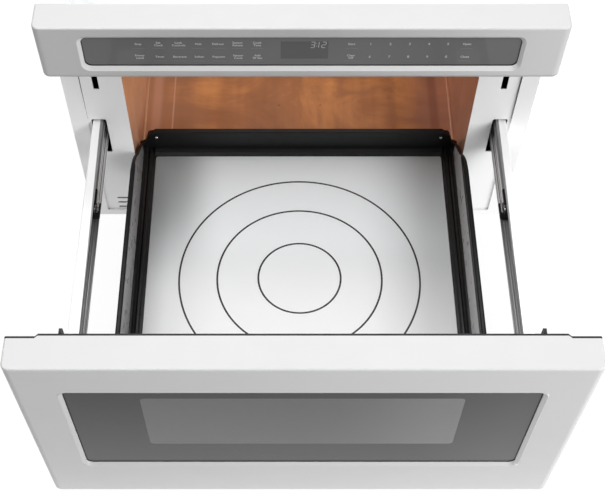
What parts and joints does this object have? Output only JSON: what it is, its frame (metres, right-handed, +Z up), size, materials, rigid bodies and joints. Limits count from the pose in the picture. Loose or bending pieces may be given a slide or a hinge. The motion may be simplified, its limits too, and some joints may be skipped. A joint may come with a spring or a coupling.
{
  "type": "microwave drawer",
  "caption": "Built-in microwave oven in drawer form: motor-driven drawer with ceramic floor on telescopic slides, window front, touch control panel, enamelled cavity.",
  "frame": {"origin": "centre of the flat underside of the chassis behind the front flange, on the surface it stands on", "axes": "+X to the right seen from the front, +Y into the cabinet (the drawer opens towards -Y), +Z up"},
  "size_m": [0.6064, 0.986, 0.406],
  "materials": {
    "matte_white": "matte powder coat on steel",
    "white_paint": "smooth light enamel",
    "zinc_sheet": "zinc-coated sheet",
    "copper_enamel": "copper-toned satin enamel",
    "black_glass": "dark tinted",
    "window_glass": "clear",
    "black_paint": "satin",
    "black_resin": "moulded",
    "ceramic": "glazed",
    "slide_steel": "bright zinc",
    "screw_steel": "plated",
    "grey_resin": "moulded",
    "white_resin": "moulded",
    "board": "laminate with parts",
    "copper_wire": "enamelled",
    "core_steel": "laminated",
    "can_aluminium": "plain",
    "mica": "mica sheet",
    "wire": "bundled",
    "lamp_glass": "clear"
  },
  "bodies": {
    "chassis": {"front_flange": "white_paint", "face_plate": "white_paint", "base_pan": "zinc_sheet", "outer_wrap": "zinc_sheet", "back_panel": "zinc_sheet", "oven_cavity": "copper_enamel", "cavity_lamp": "lamp_glass", "stirrer_housing": "zinc_sheet", "stirrer_cover": "mica", "stirrer_motor": "can_aluminium", "waveguide": "can_aluminium", "magnetron": "can_aluminium", "transformer_core": "core_steel", "transformer_coils": "copper_wire", "capacitor": "can_aluminium", "fan_housing": "grey_resin", "fan_motor": "can_aluminium", "power_board": "board", "drawer_motor": "grey_resin", "interlock_switches": "black_resin", "cord_gland": "black_resin", "cabinet_screws": "screw_steel", "control_fascia": "matte_white", "control_glass": "black_glass", "control_board": "board", "wiring_harness": "wire", "slide_brackets": "zinc_sheet", "slide_fixed_right": "slide_steel", "slide_fixed_left": "slide_steel"},
    "drawer": {"drawer_front": "matte_white", "door_glass": "black_glass", "window_screen": "black_paint", "door_inner_frame": "black_resin", "inner_window": "window_glass", "door_back_plate": "black_resin", "latch_hooks": "black_resin", "drawer_side_right": "black_paint", "drawer_side_left": "black_paint", "drawer_rear_wall": "black_resin", "drawer_base": "black_resin", "ceramic_tray": "ceramic", "drive_rack": "grey_resin", "drawer_screws": "screw_steel", "drawer_member_right": "slide_steel", "drawer_member_left": "slide_steel", "slide_rail_right": "white_paint", "slide_rail_left": "white_paint"},
    "middle_slide_right": {"slide_middle_right": "slide_steel", "slide_stop_right": "black_resin"},
    "middle_slide_left": {"slide_middle_left": "slide_steel", "slide_stop_left": "black_resin"},
    "outer_cage_right": {"ball_cage_outer_right": "slide_steel"},
    "outer_cage_left": {"ball_cage_outer_left": "slide_steel"},
    "inner_cage_right": {"ball_cage_inner_right": "slide_steel"},
    "inner_cage_left": {"ball_cage_inner_left": "slide_steel"},
    "pinion": {"drive_pinion": "white_resin"},
    "stirrer": {"stirrer_wheel": "can_aluminium"},
    "fan": {"fan_wheel": "grey_resin"},
    "plunger_right": {"interlock_plunger_right": "white_resin"},
    "plunger_left": {"interlock_plunger_left": "white_resin"}
  },
  "joints": [
    {"name": "drawer_slide", "type": "slide", "parent": "chassis", "child": "drawer", "axis": [0, 1, 0], "range_m": [0, 0.386]},
    {"name": "middle_slide_right", "type": "slide", "parent": "chassis", "child": "middle_slide_right", "axis": [0, 1, 0], "range_m": [0, 0.193]},
    {"name": "outer_cage_right", "type": "slide", "parent": "chassis", "child": "outer_cage_right", "axis": [0, 1, 0], "range_m": [0, 0.2895]},
    {"name": "inner_cage_right", "type": "slide", "parent": "chassis", "child": "inner_cage_right", "axis": [0, 1, 0], "range_m": [0, 0.0965]},
    {"name": "middle_slide_left", "type": "slide", "parent": "chassis", "child": "middle_slide_left", "axis": [0, 1, 0], "range_m": [0, 0.193]},
    {"name": "outer_cage_left", "type": "slide", "parent": "chassis", "child": "outer_cage_left", "axis": [0, 1, 0], "range_m": [0, 0.2895]},
    {"name": "inner_cage_left", "type": "slide", "parent": "chassis", "child": "inner_cage_left", "axis": [0, 1, 0], "range_m": [0, 0.0965]},
    {"name": "drive_pinion_spin", "type": "hinge", "parent": "chassis", "child": "pinion", "pos_m": [0.0075, -0.2555, 0.03268], "axis": [-1, 0, 0], "range_deg": [0, 2110]},
    {"name": "stirrer_spin", "type": "hinge", "parent": "chassis", "child": "stirrer", "pos_m": [0, -0.0445, 0.3], "axis": [0, 0, 1], "continuous": true},
    {"name": "fan_spin", "type": "hinge", "parent": "chassis", "child": "fan", "pos_m": [-0.17, 0.205, 0.084], "axis": [0, 1, 0], "continuous": true},
    {"name": "interlock_plunger_right", "type": "slide", "parent": "chassis", "child": "plunger_right", "axis": [0, 1, 0], "range_m": [0, 0.0015], "stiffness_N_per_m": 150, "springref_m": -0.001},
    {"name": "interlock_plunger_left", "type": "slide", "parent": "chassis", "child": "plunger_left", "axis": [0, 1, 0], "range_m": [0, 0.0015], "stiffness_N_per_m": 150, "springref_m": -0.001}
  ],
  "couplings": [
    {"joint": "middle_slide_right", "follows": "drawer_slide", "ratio": 0.5},
    {"joint": "outer_cage_right", "follows": "drawer_slide", "ratio": 0.75},
    {"joint": "inner_cage_right", "follows": "drawer_slide", "ratio": 0.25},
    {"joint": "middle_slide_left", "follows": "drawer_slide", "ratio": 0.5},
    {"joint": "outer_cage_left", "follows": "drawer_slide", "ratio": 0.75},
    {"joint": "inner_cage_left", "follows": "drawer_slide", "ratio": 0.25},
    {"joint": "drive_pinion_spin", "follows": "drawer_slide", "rad_per_m": 95.238}
  ]
}
